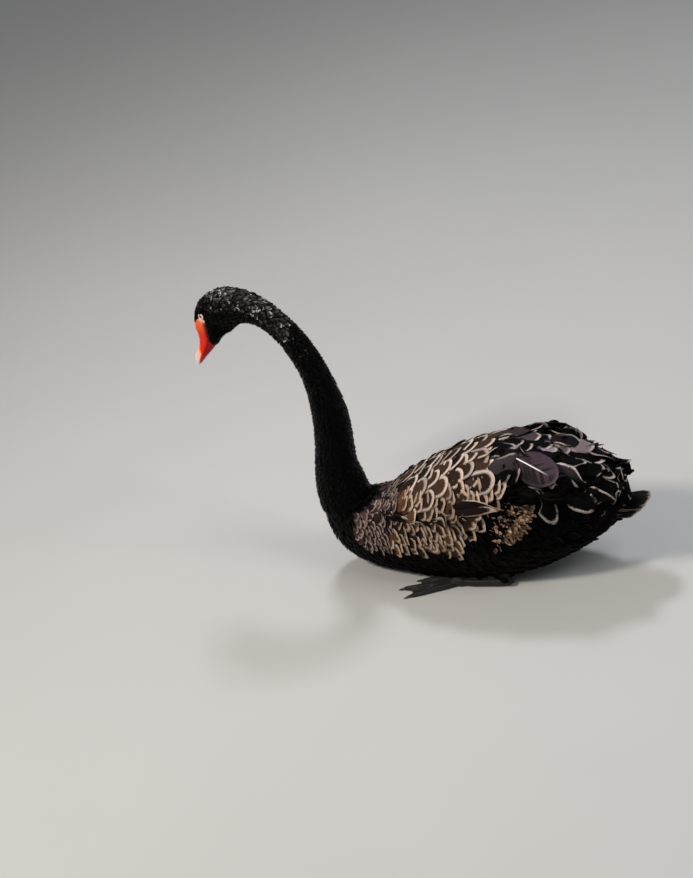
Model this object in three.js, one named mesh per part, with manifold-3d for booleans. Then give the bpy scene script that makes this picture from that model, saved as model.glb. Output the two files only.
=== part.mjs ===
import * as THREE from 'three';
import { mergeVertices } from 'three/addons/utils/BufferGeometryUtils.js';
import Module from 'manifold-3d';

// Black swan, Cygnus atratus, resting on its belly with the neck raised and the bill pointing down.
// Millimetres. The bird faces -X, its right side is +Y, and the floor is Z = 0 under its belly.

const wasm = await Module();
wasm.setup();

// Clearance, mesh fineness and roundness: a power under 1 makes a fuller belly or a blunter end
const gap = 0.3;
const bodySides = 24;
const bellyFullness = 0.8;
const bluntness = 0.5;
const neckSides = 18;
const billSides = 14;
const trunkSteps = 20;
const coverSteps = 16;

// Trunk under the feathers of the back: position, back line, widest level, keel line, half width
const trunkRows = [
  [-267, 106, 106, 106, 0],
  [-258, 138, 108, 62, 23],
  [-232, 152, 111, 24, 41],
  [-190, 152, 115, 3, 56],
  [-135, 153, 124, -5, 73],
  [-75, 180, 136, -7, 90],
  [-10, 217, 145, -7, 99],
  [55, 241, 150, -6, 101],
  [115, 250, 154, 5, 98],
  [175, 240, 156, 28, 87],
  [230, 212, 152, 58, 69],
  [278, 174, 142, 91, 44],
  [308, 146, 134, 118, 20],
  [316, 132, 132, 132, 0],
];

// Folded wings, scapulars and mantle as one cover over the back, in the same five measures
const coverRows = [
  [-176, 128, 128, 128, 0],
  [-164, 145, 126, 110, 52],
  [-130, 162, 129, 108, 82],
  [-74, 196, 140, 105, 101],
  [-8, 229, 150, 100, 111],
  [55, 254, 155, 100, 113],
  [115, 262, 158, 100, 111],
  [175, 259, 161, 100, 104],
  [228, 242, 162, 110, 90],
  [275, 214, 160, 120, 67],
  [306, 186, 158, 135, 42],
  [320, 162, 162, 162, 0],
];
const wingLowerEdge = [
  [-200, 146],
  [-120, 148],
  [-40, 152],
  [30, 160],
  [80, 176],
  [125, 194],
  [180, 196],
  [240, 184],
  [330, 168],
];

// Neck and head: centre line along X and Z, then depth to the back, depth to the throat, half width
const neckRows = [
  [-196, 84, 0, 0, 0],
  [-204, 98, 38, 40, 36],
  [-214, 124, 48, 49, 44],
  [-219, 152, 50, 49, 44],
  [-219, 180, 46, 46, 40],
  [-218, 212, 39, 39, 36.5],
  [-212, 242, 35.5, 36.5, 34.5],
  [-207, 272, 34, 34.5, 33.5],
  [-203, 303, 33, 33, 32.5],
  [-202, 333, 31, 31, 30.5],
  [-203, 362, 28, 28, 28],
  [-206.5, 389, 25.5, 26, 26],
  [-211.5, 413, 25, 24, 25],
  [-219, 435, 25.5, 22, 24.5],
  [-229, 457, 26, 20, 24.5],
  [-240, 477, 26, 17.5, 24.5],
  [-253, 496, 26, 17.5, 24.5],
  [-268, 513, 26.5, 18.5, 25],
  [-285, 526.5, 28, 21.5, 26.5],
  [-305, 535.5, 31.5, 28, 29],
  [-327, 539, 36, 34.5, 29.5],
  [-350, 534, 38.5, 39, 27.5],
  [-370, 521.5, 37.5, 40, 24],
  [-383, 506.5, 30, 35, 19.5],
  [-392, 489, 21.5, 27, 15.8],
  [-399, 477, 16, 20, 12],
];
const neckJoints = [0, 6, 9.5, 13, 16.5, 20];
const neckSteps = [7, 4, 4, 6, 5];
const headSteps = 8;

// Bill: it leaves the face at this point, in this direction, at this length
const billBase = new THREE.Vector3(-392, 0, 489);
const billSlope = THREE.MathUtils.degToRad(60.6);
const billLength = 74;
// Along the bill as a share of its length: culmen, cutting edge, lower edge, half width
const billRows = [
  [20.6, -8, -25.5, 15.4],
  [14.6, -9, -22.2, 13.6],
  [10.6, -8, -19.6, 12.1],
  [8.7, -5.5, -16.2, 11.5],
  [9.9, -3.5, -12.2, 11.9],
  [10.8, -2, -8.4, 11.6],
  [10.4, -1.2, -5.4, 8.6],
  [2.5, -0.6, -2.4, 1.6],
];
const billSteps = 10;
// Steps crowd towards the tip by the first power, and sections are domed by the second
const billEase = 1.2;
const billDome = 0.8;
// How much the lower half is shorter, and its tip narrower as a share of its width
const lowerShorter = 2.5;
const lowerNarrower = 0.12;

// Eyes
const eyeRadius = 5.6;
const eyeCentre = new THREE.Vector3(-381, 18.6, 533);

// Tail of layered feathers: where they root, how they rise, fan and droop, and one feather's size
const tailRoot = new THREE.Vector3(250, 0, 132);
const tailRise = THREE.MathUtils.degToRad(5);
const tailFan = THREE.MathUtils.degToRad(15);
const tailFeathers = 7;
const tailSpread = 19;
const tailDroop = 6;
const tailFeather = { length: 95, width: 17, thickness: 7, curl: 3 };

// Legs folded on the floor under the belly
const toeJoint = new THREE.Vector3(-6, 69, 7);
const hock = new THREE.Vector3(88, 65, 9);
const kneeEnd = new THREE.Vector3(52, 60, 62);
const ankleRadius = 7.6;
const shankRadius = 8;
const hockRadius = 9;
const thighRadius = 15;
const hindToeRadius = 4.4;
const toeFloorSink = 1.5;
const toeRows = [
  { name: 'inner', angle: -4, length: 78, radius: 5.2 },
  { name: 'middle', angle: 11, length: 104, radius: 5.6 },
  { name: 'outer', angle: 26, length: 94, radius: 5.2 },
];
const hindToeLength = 20;
const hindToeInward = 12;
// Claw: how far it starts inside the toe, how far its tip drops and how much it thins
const clawSize = { length: 13, radius: 3, rooted: 4, drop: 2.2, taper: 0.75 };
// Web: how far along the toes it reaches, and how far its free edge is from the joint midway
const web = { thickness: 3.4, reach: 0.94, hollow: 0.8 };

// Curled feathers of the rear back: how many along and across, where they start on the cover
// and how far apart they are, in rows of the cover along it and in radians round it
const plumesAlong = 5;
const plumesAcross = 3;
const plumeStart = { along: 5.2, around: THREE.MathUtils.degToRad(15) };
const plumeStep = { along: 0.86, around: THREE.MathUtils.degToRad(21) };
const plumeStagger = { along: 0.15, around: THREE.MathUtils.degToRad(6) };
// They turn a little to and fro, get shorter to the rear and are arched across their width
const plumeYaw = { most: 0.12, alongStep: 2.1, acrossStep: 1.7 };
const plumeTaper = 0.07;
const plumeArch = 0.12;
const plumeSize = { length: 60, width: 18, thickness: 4.2, curl: 4 };
const plumeSink = 3;

// Size of the blocks that cut the wings apart and the head flat, well beyond the body
const blockSize = 900;

const black = new THREE.MeshStandardMaterial({ color: 0x0c0b0d, roughness: 0.55, metalness: 0 });
const brownBlack = new THREE.MeshStandardMaterial({ color: 0x1d1817, roughness: 0.65, metalness: 0 });
const billRed = new THREE.MeshStandardMaterial({ color: 0xd3261b, roughness: 0.35, metalness: 0 });
const eyeDark = new THREE.MeshStandardMaterial({ color: 0x2a0f0b, roughness: 0.1, metalness: 0 });
const legGrey = new THREE.MeshStandardMaterial({ color: 0x1f1d1e, roughness: 0.6, metalness: 0 });
const clawHorn = new THREE.MeshStandardMaterial({ color: 0x151313, roughness: 0.4, metalness: 0 });

// Smooth curve through rows of numbers, round at a closed end: widths mirror and positions repeat
function smoothRow(rows, at, widthColumns) {
  const last = rows.length - 1;
  const i = Math.min(Math.floor(at), last - 1);
  const f = at - i;
  const mirrored = (row) => row.map((value, k) => (widthColumns.includes(k) ? -value : value));
  const before = i > 0 ? rows[i - 1] : mirrored(rows[1]);
  const after = i + 2 <= last ? rows[i + 2] : mirrored(rows[last - 1]);
  return rows[i].map((b, k) => {
    const a = before[k];
    const c = rows[i + 1][k];
    const d = after[k];
    const slopeStart = (c - a) / 2;
    const slopeEnd = (d - b) / 2;
    const f2 = f * f;
    const f3 = f2 * f;
    return (2 * f3 - 3 * f2 + 1) * b + (f3 - 2 * f2 + f) * slopeStart
      + (3 * f2 - 2 * f3) * c + (f3 - f2) * slopeEnd;
  });
}

// Closed solid from a geometry whose vertices are placed by (along 0..1, angle, reach 0..1)
function loft(geometry, place) {
  const position = geometry.attributes.position;
  const isSphere = geometry.type === 'SphereGeometry';
  const point = new THREE.Vector3();
  for (let i = 0; i < position.count; i += 1) {
    const [x, y, z] = [position.getX(i), position.getY(i), position.getZ(i)];
    const along = isSphere ? Math.acos(THREE.MathUtils.clamp(y, -1, 1)) / Math.PI : 0.5 - y;
    const reach = isSphere ? 1 : Math.min(1, Math.hypot(x, z));
    place(along, Math.atan2(x, z), reach, point);
    position.setXYZ(i, point.x, point.y, point.z);
  }
  return solidOf(geometry);
}

const ball = (around, along) => new THREE.SphereGeometry(1, around, along);
const rod = (around, along) => new THREE.CylinderGeometry(1, 1, 1, around, along);

// Merged, outward-facing solid of a closed geometry
function solidOf(geometry) {
  geometry.deleteAttribute('normal');
  geometry.deleteAttribute('uv');
  const merged = mergeVertices(geometry, 1e-3);
  const index = merged.index.array;
  const vertProperties = new Float32Array(merged.attributes.position.array);
  const corners = [];
  let volume = 0;
  const [a, b, c] = [new THREE.Vector3(), new THREE.Vector3(), new THREE.Vector3()];
  for (let i = 0; i < index.length; i += 3) {
    const [p, q, r] = [index[i], index[i + 1], index[i + 2]];
    if (p !== q && q !== r && r !== p) {
      corners.push(p, q, r);
      a.fromArray(vertProperties, 3 * p);
      b.fromArray(vertProperties, 3 * q);
      c.fromArray(vertProperties, 3 * r);
      volume += a.dot(b.cross(c));
    }
  }
  const triVerts = new Uint32Array(corners);
  if (volume < 0) {
    for (let i = 0; i < triVerts.length; i += 3) {
      [triVerts[i], triVerts[i + 1]] = [triVerts[i + 1], triVerts[i]];
    }
  }
  return new wasm.Manifold(new wasm.Mesh({ numProp: 3, vertProperties, triVerts }));
}

// The largest body of a cut solid, without slivers
function mainBody(solid) {
  const bodies = solid.decompose();
  return bodies.reduce((best, body) => (body.volume() > best.volume() ? body : best));
}

// Named mesh of a solid in its own colour
function meshOf(name, solid, material) {
  const mesh = mainBody(solid).getMesh();
  const geometry = new THREE.BufferGeometry();
  geometry.setAttribute('position', new THREE.BufferAttribute(mesh.vertProperties, 3));
  geometry.setIndex(new THREE.BufferAttribute(mesh.triVerts, 1));
  geometry.computeVertexNormals();
  const part = new THREE.Mesh(geometry, material);
  part.name = name;
  return part;
}

// Egg-shaped section of the trunk or of its feather cover, grown outwards and flat on the floor
function eggBody(rows, along, grow = 0) {
  return loft(ball(bodySides, along), (t, angle, reach, point) => {
    const [x, top, middle, bottom, half] = smoothRow(rows, t * (rows.length - 1), [4]);
    const around = grow * Math.sin(Math.PI * t) ** bluntness;
    const [rise, side] = [Math.cos(angle), Math.sin(angle)];
    const isLower = rise < 0;
    const fullness = isLower ? bellyFullness : 1;
    const depth = isLower ? bottom - middle - around : top - middle + around;
    const end = grow * Math.cos(Math.PI * t);
    point.set(
      x - end,
      (half + around) * Math.sign(side) * Math.abs(side) ** fullness,
      Math.max(middle + depth * Math.abs(rise) ** fullness, -grow),
    );
  });
}

// Columns of the neck rows that are widths
const neckWidths = [2, 3, 4];

// Centre, forward direction and back direction at a place along the neck and head
function neckFrame(at) {
  const row = smoothRow(neckRows, at, neckWidths);
  const step = 0.02;
  const low = smoothRow(neckRows, Math.max(at - step, 0), neckWidths);
  const high = smoothRow(neckRows, Math.min(at + step, neckRows.length - 1), neckWidths);
  const forward = new THREE.Vector2(high[0] - low[0], high[1] - low[1]).normalize();
  return { row, forward, back: new THREE.Vector2(forward.y, -forward.x) };
}

// A length of the neck or head between two places, with flat ends
function neckLength(from, to, along, startGap) {
  return loft(rod(neckSides, along), (t, angle, reach, point) => {
    const { row, forward, back } = neckFrame(THREE.MathUtils.lerp(from, to, t));
    const [x, z, backDepth, throatDepth, half] = row;
    const rise = Math.cos(angle);
    const depth = reach * rise * (rise > 0 ? backDepth : throatDepth);
    const shift = t === 0 ? startGap : 0;
    point.set(
      x + back.x * depth + forward.x * shift,
      reach * half * Math.sin(angle),
      z + back.y * depth + forward.y * shift,
    );
  });
}

// Point of the bill from its length, height above its axis and side
function billPoint(along, height, side, point) {
  const [c, s] = [Math.cos(billSlope), Math.sin(billSlope)];
  return point.set(
    billBase.x - c * along - s * height,
    side,
    billBase.z - s * along + c * height,
  );
}

// Upper or lower half of the bill, flat along the cutting edge
function billHalf(isUpper) {
  return loft(rod(billSides, billSteps), (t, angle, reach, point) => {
    const eased = Math.sin(t * Math.PI / 2) ** billEase;
    const [culmen, edge, lower, half] = smoothRow(billRows, eased * (billRows.length - 1), [3]);
    const rise = Math.cos(angle);
    const flat = isUpper ? edge : edge - gap;
    const reachOut = isUpper ? culmen - flat : flat - lower;
    const domed = Math.max(rise, 0) ** billDome * reachOut;
    const shorter = isUpper ? 0 : lowerShorter * eased;
    const narrower = isUpper ? 1 : 1 - lowerNarrower * eased;
    billPoint(
      gap + (billLength - shorter) * eased,
      isUpper ? flat + reach * domed : flat - reach * domed,
      reach * half * narrower * Math.sin(angle),
      point,
    );
  });
}

// Narrow curved feather: a squashed ball, pointed at its root, curled up at its tip
function plume({ length, width, thickness, curl }, placement, grow = 0) {
  return loft(ball(6, 6), (t, angle, reach, point) => {
    const around = Math.sin(Math.PI * t);
    const side = around * Math.sin(angle);
    const share = (1 - Math.cos(Math.PI * t)) / 2;
    const arch = curl * share * share - plumeArch * width * side * side;
    point.set(
      (length + 2 * grow) * share - grow,
      (width + grow) * side,
      (thickness + grow) * around * Math.cos(angle) + arch,
    );
    point.applyMatrix4(placement);
  });
}

// Point of the right side, or its mirror image on the left side
function sided(side, point) {
  return new THREE.Vector3(point.x, side * point.y, point.z);
}

const trunkGrown = eggBody(trunkRows, trunkSteps, gap);

// Fan of tail feathers, the outer ones shorter and lower
function makeTail(grow) {
  let tail = null;
  for (let i = 0; i < tailFeathers; i += 1) {
    const spread = (2 * i) / (tailFeathers - 1) - 1;
    const turn = new THREE.Euler(0, -tailRise, tailFan * spread, 'ZYX');
    const placement = new THREE.Matrix4().makeRotationFromEuler(turn);
    placement.setPosition(tailRoot.x, tailSpread * spread, tailRoot.z - tailDroop * spread * spread);
    const size = { ...tailFeather, length: tailFeather.length * (1 - 0.2 * spread * spread) };
    const feather = plume(size, placement, grow);
    tail = tail ? tail.add(feather) : feather;
  }
  return tail.subtract(trunkGrown);
}

// Region under the lower edge of the folded wings
function underWings() {
  const outline = new THREE.Shape();
  outline.moveTo(wingLowerEdge[0][0], 0);
  for (const [x, z] of wingLowerEdge) {
    outline.lineTo(x, z);
  }
  outline.lineTo(wingLowerEdge.at(-1)[0], 0);
  const slab = new THREE.ExtrudeGeometry(outline, { depth: blockSize, bevelEnabled: false });
  slab.rotateX(Math.PI / 2);
  slab.translate(0, blockSize / 2, 0);
  return solidOf(slab);
}

// Everything on one side of the body, clear of the middle plane
function halfSpace(side) {
  const block = new THREE.BoxGeometry(blockSize, blockSize, blockSize);
  block.translate(0, side * (blockSize + gap) / 2, 0);
  return solidOf(block);
}

// Place on the feather cover, and the directions along it, across it and out of it
function coverFrame(at, angle) {
  const pointAt = (row, turn) => {
    const [x, top, middle, , half] = smoothRow(coverRows, row, [4]);
    return new THREE.Vector3(x, half * Math.sin(turn), middle + (top - middle) * Math.cos(turn));
  };
  const step = 0.05;
  const point = pointAt(at, angle);
  const along = pointAt(at + step, angle).sub(point).normalize();
  const across = pointAt(at, angle + step).sub(point).normalize();
  return { point, along, outward: new THREE.Vector3().crossVectors(along, across).normalize() };
}

// Ruffled scapulars and tertials that lift off the rear of one wing
function ruffle(side) {
  let plumes = null;
  for (let row = 0; row < plumesAcross; row += 1) {
    for (let i = 0; i < plumesAlong; i += 1) {
      const at = plumeStart.along + plumeStep.along * i + plumeStagger.along * row;
      const around = plumeStart.around + plumeStep.around * row + plumeStagger.around * (i % 2);
      const { point, along, outward } = coverFrame(at, side * around);
      const phase = plumeYaw.alongStep * i + plumeYaw.acrossStep * row;
      along.applyAxisAngle(outward, plumeYaw.most * Math.sin(phase));
      const across = new THREE.Vector3().crossVectors(outward, along);
      const placement = new THREE.Matrix4().makeBasis(along, across, outward);
      placement.setPosition(point.addScaledVector(outward, -plumeSink));
      const size = { ...plumeSize, length: plumeSize.length * (1 - plumeTaper * i) };
      const feather = plume(size, placement);
      plumes = plumes ? plumes.add(feather) : feather;
    }
  }
  return plumes;
}

// Folded wing of one side, clear of the trunk and the tail
function makeWing(side, tailGrown) {
  return eggBody(coverRows, coverSteps)
    .add(ruffle(side))
    .subtract(underWings())
    .intersect(halfSpace(side))
    .subtract(trunkGrown)
    .subtract(tailGrown);
}

// Head, cut flat where the bill begins and hollowed for the eyes
function makeHead() {
  const last = neckRows.length - 1;
  const whole = neckLength(neckJoints.at(-1), last, headSteps, gap);
  const front = new THREE.BoxGeometry(billLength, billLength, 2 * billLength);
  front.translate(billLength / 2, 0, 0);
  front.rotateY(Math.PI - billSlope);
  front.translate(billBase.x, 0, billBase.z);
  return whole.subtract(solidOf(front)).subtract(makeEye(1, gap)).subtract(makeEye(-1, gap));
}

// Eyeball, or with a gap around it its socket
function makeEye(side, around = 0) {
  return loft(ball(10, 7), (t, angle, reach, point) => {
    point.setFromSphericalCoords(eyeRadius + around, Math.PI * t, angle);
    point.add(sided(side, eyeCentre));
  });
}

// Tapered limb between two points, flat where it lies on the floor
function limb(from, to, radiusFrom, radiusTo, grow = 0) {
  const forward = new THREE.Vector3().subVectors(to, from).normalize();
  const across = new THREE.Vector3(0, 0, 1).cross(forward).normalize();
  const up = new THREE.Vector3().crossVectors(forward, across);
  return loft(ball(8, 6), (t, angle, reach, point) => {
    const share = (1 - Math.cos(Math.PI * t)) / 2;
    const radius = THREE.MathUtils.lerp(radiusFrom, radiusTo, share) + grow;
    const round = Math.min(1, Math.sin(Math.PI * t) * 1.5) * radius;
    point.copy(from).addScaledVector(forward, (from.distanceTo(to) + 2 * grow) * share - grow);
    point.addScaledVector(across, round * Math.sin(angle));
    point.addScaledVector(up, round * Math.cos(angle));
    point.z = Math.max(point.z, -grow);
  });
}

// Centre of a toe's end
function toeTip(side, toe) {
  const turn = THREE.MathUtils.degToRad(toe.angle);
  return new THREE.Vector3(
    toeJoint.x - toe.length * Math.cos(turn),
    side * (toeJoint.y + toe.length * Math.sin(turn)),
    toe.radius - toeFloorSink,
  );
}

// Shank lying on the floor and the lower thigh that rises into the flank
function makeLeg(side, grow) {
  const joint = sided(side, toeJoint);
  const ankle = sided(side, hock);
  const ankleEnd = ankle.clone().setX(hock.x + hockRadius);
  const shank = limb(joint, ankleEnd, ankleRadius, shankRadius, grow);
  const upper = limb(ankle, sided(side, kneeEnd), hockRadius, thighRadius, grow);
  return shank.add(upper).subtract(trunkGrown);
}

// Three webbed toes and a small hind toe
function makeFoot(side, grow) {
  const joint = sided(side, toeJoint);
  const heel = joint.clone().setX(joint.x + 1.5 * ankleRadius);
  const palm = joint.clone().setX(joint.x - 2 * ankleRadius);
  const hindY = joint.y - side * hindToeInward;
  const hindTip = new THREE.Vector3(joint.x + hindToeLength, hindY, hindToeRadius);
  let foot = limb(heel, palm, ankleRadius, ankleRadius, grow);
  foot = foot.add(limb(joint, hindTip, hindToeRadius, hindToeRadius, grow));
  for (const toe of toeRows) {
    foot = foot.add(limb(joint, toeTip(side, toe), 1.2 * toe.radius, 0.85 * toe.radius, grow));
  }
  for (let i = 0; i < toeRows.length - 1; i += 1) {
    const [tipA, tipB] = [toeTip(side, toeRows[i]), toeTip(side, toeRows[i + 1])];
    const middle = tipA.clone().lerp(tipB, 0.5);
    const [a, b, c] = [[tipA, web.reach], [middle, web.hollow], [tipB, web.reach]].map(
      ([end, share]) => joint.clone().lerp(end, share),
    );
    const outline = new THREE.Shape();
    outline.moveTo(joint.x, joint.y);
    outline.lineTo(a.x, a.y);
    outline.quadraticCurveTo(b.x, b.y, c.x, c.y);
    foot = foot.add(solidOf(new THREE.ExtrudeGeometry(outline, {
      depth: web.thickness,
      curveSegments: 4,
      bevelEnabled: false,
    })));
  }
  return foot.subtract(makeLeg(side, gap)).subtract(trunkGrown);
}

// Short curved claw at a toe's end
function makeClaw(tip, direction, footGrown) {
  const claw = loft(ball(6, 6), (t, angle, reach, point) => {
    const share = (1 - Math.cos(Math.PI * t)) / 2;
    const round = Math.sin(Math.PI * t) ** bluntness;
    const radius = clawSize.radius * round * (1 - clawSize.taper * share);
    const drop = clawSize.drop * share * share;
    point.copy(tip).addScaledVector(direction, clawSize.length * share - clawSize.rooted);
    point.x -= direction.y * radius * Math.sin(angle);
    point.y += direction.x * radius * Math.sin(angle);
    point.z = Math.max(tip.z + radius * Math.cos(angle) - drop, 0);
  });
  return claw.subtract(footGrown);
}

const swan = new THREE.Group();
swan.name = 'black_swan';

swan.add(meshOf('trunk', eggBody(trunkRows, trunkSteps), black));
for (let i = 0; i < neckSteps.length; i += 1) {
  const startGap = i === 0 ? 0 : gap;
  const piece = neckLength(neckJoints[i], neckJoints[i + 1], neckSteps[i], startGap);
  swan.add(meshOf(`neck_${i + 1}`, i === 0 ? piece.subtract(trunkGrown) : piece, black));
}
swan.add(meshOf('head', makeHead(), black));
swan.add(meshOf('bill_upper', billHalf(true), billRed));
swan.add(meshOf('bill_lower', billHalf(false), billRed));
swan.add(meshOf('tail', makeTail(0), black));

const tailGrown = makeTail(gap);
for (const [word, side] of [['left', -1], ['right', 1]]) {
  swan.add(meshOf(`eye_${word}`, makeEye(side), eyeDark));
  swan.add(meshOf(`wing_${word}`, makeWing(side, tailGrown), brownBlack));
  swan.add(meshOf(`leg_${word}`, makeLeg(side, 0), legGrey));
  swan.add(meshOf(`foot_${word}`, makeFoot(side, 0), legGrey));
  const footGrown = makeFoot(side, gap);
  for (const toe of toeRows) {
    const tip = toeTip(side, toe);
    const direction = new THREE.Vector3(tip.x - toeJoint.x, tip.y - side * toeJoint.y, 0).normalize();
    swan.add(meshOf(`claw_${word}_${toe.name}`, makeClaw(tip, direction, footGrown), clawHorn));
  }
}

export default swan;
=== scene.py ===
import math
from functools import partial

import bmesh
import bpy
import numpy as np
from mathutils import Matrix, Vector
from mathutils.bvhtree import BVHTree
from mathutils.kdtree import KDTree


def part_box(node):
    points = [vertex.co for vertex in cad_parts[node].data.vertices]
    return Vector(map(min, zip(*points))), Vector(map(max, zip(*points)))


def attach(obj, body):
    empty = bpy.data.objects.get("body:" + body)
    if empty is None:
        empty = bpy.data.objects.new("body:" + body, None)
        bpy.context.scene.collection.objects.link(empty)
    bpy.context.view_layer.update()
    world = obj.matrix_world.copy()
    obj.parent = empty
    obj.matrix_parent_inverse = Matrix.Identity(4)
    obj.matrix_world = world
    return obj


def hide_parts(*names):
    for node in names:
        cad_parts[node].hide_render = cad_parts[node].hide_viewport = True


# Black swan resting on its belly: one skin, then feathers as solid vanes laid over it.
# Shapes are worked out in millimetres and scaled to metres when a mesh is made.

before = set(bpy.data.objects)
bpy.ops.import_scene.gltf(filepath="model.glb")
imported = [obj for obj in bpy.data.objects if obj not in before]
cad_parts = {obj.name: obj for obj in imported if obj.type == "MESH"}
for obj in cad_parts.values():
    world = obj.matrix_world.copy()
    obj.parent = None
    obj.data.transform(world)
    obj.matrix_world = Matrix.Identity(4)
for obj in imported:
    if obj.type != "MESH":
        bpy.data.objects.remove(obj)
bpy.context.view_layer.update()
rng = np.random.default_rng(11)
mm = 0.001
fullTurn = 6.283

neckNodes = ["neck_1", "neck_2", "neck_3", "neck_4", "neck_5"]
legNodes = ["leg_left", "leg_right", "foot_left", "foot_right"]
fleshNodes = ["trunk", *neckNodes, "head", "wing_left", "wing_right", "tail", *legNodes]
print("frame loaded:", len(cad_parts), "nodes")


# Settings that many nodes share
smooth = {"interpolation_type": "SMOOTHSTEP"}
colours = {"data_type": "RGBA"}


def linear(hexColour):
    parts = [int(hexColour[i:i + 2], 16) / 255 for i in (1, 3, 5)]
    return [v / 12.92 if v <= 0.04045 else ((v + 0.055) / 1.055) ** 2.4 for v in parts] + [1.0]


# Adds a node and gives its first output. Feeds go in by name or in order, as values or as other nodes' outputs
def addNode(tree, kind, feeds, **settings):
    node = tree.nodes.new("ShaderNode" + kind)
    for key, value in settings.items():
        setattr(node, key, value)
    shown = [socket for socket in node.inputs if socket.enabled]
    for key, value in feeds.items() if isinstance(feeds, dict) else enumerate(feeds):
        socket = node.inputs[key] if isinstance(key, str) else shown[key]
        if isinstance(value, bpy.types.NodeSocket):
            tree.links.new(value, socket)
        else:
            socket.default_value = value
    return next((socket for socket in node.outputs if socket.enabled), None)


# An empty material, its own way to add nodes, and the place on the object that patterns start from
def newMaterial(name):
    material = bpy.data.materials.new(name)
    material.use_nodes = True
    material.node_tree.nodes.clear()
    add = partial(addNode, material.node_tree)
    return material, add, add("TexCoord", []).node.outputs["Object"]


# A material whose colour wanders between two tones, and whose bump, if it has one, follows them
def makeMottled(title, scale, detail, tones, surface, bump=None):
    material, add, place = newMaterial(title)
    mottle = add("TexNoise", {"Vector": place, "Scale": scale, "Detail": detail})
    surface = {"Base Color": add("Mix", [mottle, *map(linear, tones)], **colours), **surface}
    if bump:
        surface["Normal"] = add("Bump", {"Height": mottle, **bump})
    add("OutputMaterial", [add("BsdfPrincipled", surface)])
    return material


# Lays tones over a colour. Each has its measure, where it begins on that, and where it is full
def layTones(add, colour, tones):
    for measure, low, high, tone in tones:
        share = add("MapRange", [measure, low, high], **smooth)
        colour = add("Mix", [share, colour, linear(tone)], **colours)
    return colour


def centreOf(node):
    low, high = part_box(node)
    return np.array((low + high) / 2) / mm


def unit(vectors):
    return vectors / np.maximum(np.linalg.norm(vectors, axis=-1, keepdims=True), 1e-9)


def smoothStep(low, high, x):
    t = np.clip((x - low) / (high - low), 0, 1)
    return t * t * (3 - 2 * t)


def setCorners(mesh, points):
    mesh.vertices.foreach_set("co", (points * mm).astype(np.float32).ravel())
    mesh.update()


def readAll(items, key, width, kind=float):
    values = np.zeros(len(items) * width, kind)
    items.foreach_get(key, values)
    return values.reshape(-1, width)


def cornersOf(mesh):
    return readAll(mesh.vertices, "co", 3) / mm


def normalsOf(mesh):
    mesh.update()
    return readAll(mesh.vertices, "normal", 3)


def addMap(mesh, name, placePerVertex):
    places = placePerVertex[readAll(mesh.loops, "vertex_index", 1, np.int64)[:, 0]]
    mesh.uv_layers.new(name=name).data.foreach_set("uv", places.astype(np.float32).ravel())


def meshFrom(points, faces):
    mesh = bpy.data.meshes.new("shape")
    faces = np.asarray(faces, np.int32)
    mesh.vertices.add(len(points))
    mesh.loops.add(faces.size)
    mesh.loops.foreach_set("vertex_index", faces.ravel())
    mesh.polygons.add(len(faces))
    mesh.polygons.foreach_set("loop_start", np.arange(0, faces.size, faces.shape[1], dtype=np.int32))
    setCorners(mesh, np.asarray(points, float))
    mesh.update(calc_edges=True)
    return mesh


def meshOf(shape):
    mesh = bpy.data.meshes.new("shape")
    shape.to_mesh(mesh)
    shape.free()
    return mesh


def placed(name, data):
    thing = bpy.data.objects.new(name, data)
    bpy.context.scene.collection.objects.link(thing)
    return thing


def showPiece(name, mesh, *materials):
    mesh.name = name
    mesh.shade_smooth()
    for material in materials:
        mesh.materials.append(material)
    return placed(name, mesh)


# Camera, at the photograph's height and heading
view = {
    "place": (1.40193, -2.77255, 2.108),
    "ahead": (-0.43007, 0.75169, -0.5),
    "up": (0.0037, 0.55528, 0.83164),
    "focalShare": 2100 / 878,       # focal length over the height of the frame
}


def makeCamera():
    camera = bpy.data.cameras.new("camera")
    camera.sensor_width = 36
    camera.lens = view["focalShare"] * camera.sensor_width
    camera.clip_start = 0.05
    camera.clip_end = 50
    ahead = Vector(view["ahead"]).normalized()
    right = ahead.cross(Vector(view["up"])).normalized()
    turn = Matrix((right, right.cross(ahead), -ahead)).transposed().to_4x4()
    holder = placed("camera", camera)
    holder.matrix_world = Matrix.Translation(view["place"]) @ turn
    bpy.context.scene.camera = holder


makeCamera()


# Studio: pale floor, soft lamps and a faint pale sky
studio = {
    "floorTones": ("#b4b3b0", "#bcbbb8"),
    "floorSize": 9000,
    "floorLevel": -0.4,
    "sky": "#dfe4ea",
    "skyStrength": 0.28,
    "lampsFace": (0, 0, 0.25),
    # place, size in metres, power in watts, colour
    "lamps": [
        ((-1.3, -1.5, 2.5), 0.5, 62, "#fff6ea"),
        ((-0.5, 1.1, 2.6), 0.45, 34, "#f2f5ff"),
        ((1.9, -0.5, 2.1), 0.9, 26, "#ffffff"),
    ],
}


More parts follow.
